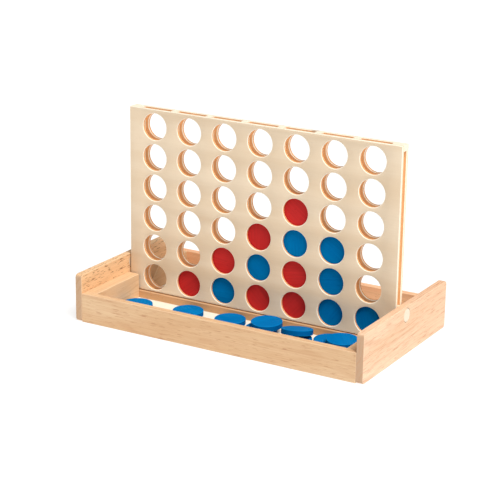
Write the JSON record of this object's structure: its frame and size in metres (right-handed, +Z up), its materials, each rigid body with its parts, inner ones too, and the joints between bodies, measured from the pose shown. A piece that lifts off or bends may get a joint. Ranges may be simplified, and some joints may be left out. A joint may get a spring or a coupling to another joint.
{
  "type": "four in a row frame",
  "caption": "Wooden four-in-a-row frame: an upright slotted board that turns and rises on two pegs in a shallow two-part tray, with red and blue discs.",
  "frame": {"origin": "on the table, under the middle of the board, at the middle of the tray's underside", "axes": "+X to the right along the tray, +Y to the back through the board, +Z up"},
  "size_m": [0.304, 0.173, 0.1943],
  "materials": {
    "beech": "satin clear lacquer over beech with fine dark flecks",
    "floor_plywood": "pale smooth plywood",
    "board_plywood": "pale smooth plywood with light cut edges",
    "strip_wood": "sawn pale wood",
    "dowel": "plain end grain",
    "red_stained_wood": "satin red stain",
    "blue_stained_wood": "satin blue stain"
  },
  "bodies": {
    "tray": {"left_cheek": "beech", "right_cheek": "beech", "front_wall": "beech", "back_wall": "beech", "floor_panel": "floor_plywood", "centre_beam": "beech", "front_rail_left": "beech", "front_rail_right": "beech", "rear_rail_left": "beech", "rear_rail_right": "beech"},
    "pegs": {"left_peg": "dowel", "right_peg": "dowel"},
    "board": {"front_panel": "board_plywood", "rear_panel": "board_plywood", "divider_strip_1": "strip_wood", "divider_strip_2": "strip_wood", "divider_strip_3": "strip_wood", "divider_strip_4": "strip_wood", "divider_strip_5": "strip_wood", "divider_strip_6": "strip_wood", "edge_strip_left": "strip_wood", "edge_strip_right": "strip_wood"},
    "red_disc_column2_row1": {"red_disc_column2_row1": "red_stained_wood"},
    "blue_disc_column3_row1": {"blue_disc_column3_row1": "blue_stained_wood"},
    "red_disc_column3_row2": {"red_disc_column3_row2": "red_stained_wood"},
    "red_disc_column4_row1": {"red_disc_column4_row1": "red_stained_wood"},
    "blue_disc_column4_row2": {"blue_disc_column4_row2": "blue_stained_wood"},
    "red_disc_column4_row3": {"red_disc_column4_row3": "red_stained_wood"},
    "red_disc_column5_row1": {"red_disc_column5_row1": "red_stained_wood"},
    "red_disc_column5_row2": {"red_disc_column5_row2": "red_stained_wood"},
    "blue_disc_column5_row3": {"blue_disc_column5_row3": "blue_stained_wood"},
    "red_disc_column5_row4": {"red_disc_column5_row4": "red_stained_wood"},
    "blue_disc_column6_row1": {"blue_disc_column6_row1": "blue_stained_wood"},
    "blue_disc_column6_row2": {"blue_disc_column6_row2": "blue_stained_wood"},
    "blue_disc_column6_row3": {"blue_disc_column6_row3": "blue_stained_wood"},
    "blue_disc_column7_row1": {"blue_disc_column7_row1": "blue_stained_wood"},
    "blue_disc_loose_1": {"blue_disc_loose_1": "blue_stained_wood"},
    "blue_disc_loose_2": {"blue_disc_loose_2": "blue_stained_wood"},
    "blue_disc_loose_3": {"blue_disc_loose_3": "blue_stained_wood"},
    "blue_disc_loose_4": {"blue_disc_loose_4": "blue_stained_wood"},
    "blue_disc_loose_5": {"blue_disc_loose_5": "blue_stained_wood"},
    "blue_disc_loose_6": {"blue_disc_loose_6": "blue_stained_wood"},
    "blue_disc_loose_7": {"blue_disc_loose_7": "blue_stained_wood"},
    "blue_disc_loose_8": {"blue_disc_loose_8": "blue_stained_wood"},
    "blue_disc_loose_9": {"blue_disc_loose_9": "blue_stained_wood"}
  },
  "joints": [
    {"name": "board_turn", "type": "hinge", "parent": "tray", "child": "pegs", "pos_m": [0, 0, 0.038], "axis": [-1, 0, 0], "range_deg": [-90, 4]},
    {"name": "board_rise", "type": "slide", "parent": "pegs", "child": "board", "axis": [0, 0, 1], "range_m": [0, 0.0155]},
    {"name": "disc_out_column2_row1", "type": "slide", "parent": "board", "child": "red_disc_column2_row1", "axis": [0, 0, 1], "range_m": [0, 0.187]},
    {"name": "disc_out_column3_row1", "type": "slide", "parent": "board", "child": "blue_disc_column3_row1", "axis": [0, 0, 1], "range_m": [0, 0.187]},
    {"name": "disc_out_column3_row2", "type": "slide", "parent": "blue_disc_column3_row1", "child": "red_disc_column3_row2", "axis": [0, 0, 1], "range_m": [0, 0.157]},
    {"name": "disc_out_column4_row1", "type": "slide", "parent": "board", "child": "red_disc_column4_row1", "axis": [0, 0, 1], "range_m": [0, 0.187]},
    {"name": "disc_out_column4_row2", "type": "slide", "parent": "red_disc_column4_row1", "child": "blue_disc_column4_row2", "axis": [0, 0, 1], "range_m": [0, 0.157]},
    {"name": "disc_out_column4_row3", "type": "slide", "parent": "blue_disc_column4_row2", "child": "red_disc_column4_row3", "axis": [0, 0, 1], "range_m": [0, 0.127]},
    {"name": "disc_out_column5_row1", "type": "slide", "parent": "board", "child": "red_disc_column5_row1", "axis": [0, 0, 1], "range_m": [0, 0.187]},
    {"name": "disc_out_column5_row2", "type": "slide", "parent": "red_disc_column5_row1", "child": "red_disc_column5_row2", "axis": [0, 0, 1], "range_m": [0, 0.157]},
    {"name": "disc_out_column5_row3", "type": "slide", "parent": "red_disc_column5_row2", "child": "blue_disc_column5_row3", "axis": [0, 0, 1], "range_m": [0, 0.127]},
    {"name": "disc_out_column5_row4", "type": "slide", "parent": "blue_disc_column5_row3", "child": "red_disc_column5_row4", "axis": [0, 0, 1], "range_m": [0, 0.097]},
    {"name": "disc_out_column6_row1", "type": "slide", "parent": "board", "child": "blue_disc_column6_row1", "axis": [0, 0, 1], "range_m": [0, 0.187]},
    {"name": "disc_out_column6_row2", "type": "slide", "parent": "blue_disc_column6_row1", "child": "blue_disc_column6_row2", "axis": [0, 0, 1], "range_m": [0, 0.157]},
    {"name": "disc_out_column6_row3", "type": "slide", "parent": "blue_disc_column6_row2", "child": "blue_disc_column6_row3", "axis": [0, 0, 1], "range_m": [0, 0.127]},
    {"name": "disc_out_column7_row1", "type": "slide", "parent": "board", "child": "blue_disc_column7_row1", "axis": [0, 0, 1], "range_m": [0, 0.187]},
    {"name": "disc_lift_loose_1", "type": "slide", "parent": "tray", "child": "blue_disc_loose_1", "axis": [0, 0, 1], "range_m": [0, 0.045]},
    {"name": "disc_lift_loose_2", "type": "slide", "parent": "tray", "child": "blue_disc_loose_2", "axis": [0, 0, 1], "range_m": [0, 0.045]},
    {"name": "disc_lift_loose_3", "type": "slide", "parent": "tray", "child": "blue_disc_loose_3", "axis": [0, 0, 1], "range_m": [0, 0.045]},
    {"name": "disc_lift_loose_4", "type": "slide", "parent": "tray", "child": "blue_disc_loose_4", "axis": [0, 0, 1], "range_m": [0, 0.045]},
    {"name": "disc_lift_loose_5", "type": "slide", "parent": "blue_disc_loose_4", "child": "blue_disc_loose_5", "axis": [0, 0, 1], "range_m": [0, 0.045]},
    {"name": "disc_lift_loose_6", "type": "slide", "parent": "tray", "child": "blue_disc_loose_6", "axis": [0, 0, 1], "range_m": [0, 0.045]},
    {"name": "disc_lift_loose_7", "type": "slide", "parent": "blue_disc_loose_6", "child": "blue_disc_loose_7", "axis": [0, 0, 1], "range_m": [0, 0.045]},
    {"name": "disc_lift_loose_8", "type": "slide", "parent": "tray", "child": "blue_disc_loose_8", "axis": [0, 0, 1], "range_m": [0, 0.045]},
    {"name": "disc_lift_loose_9", "type": "slide", "parent": "blue_disc_loose_8", "child": "blue_disc_loose_9", "axis": [0, 0, 1], "range_m": [0, 0.045]}
  ]
}
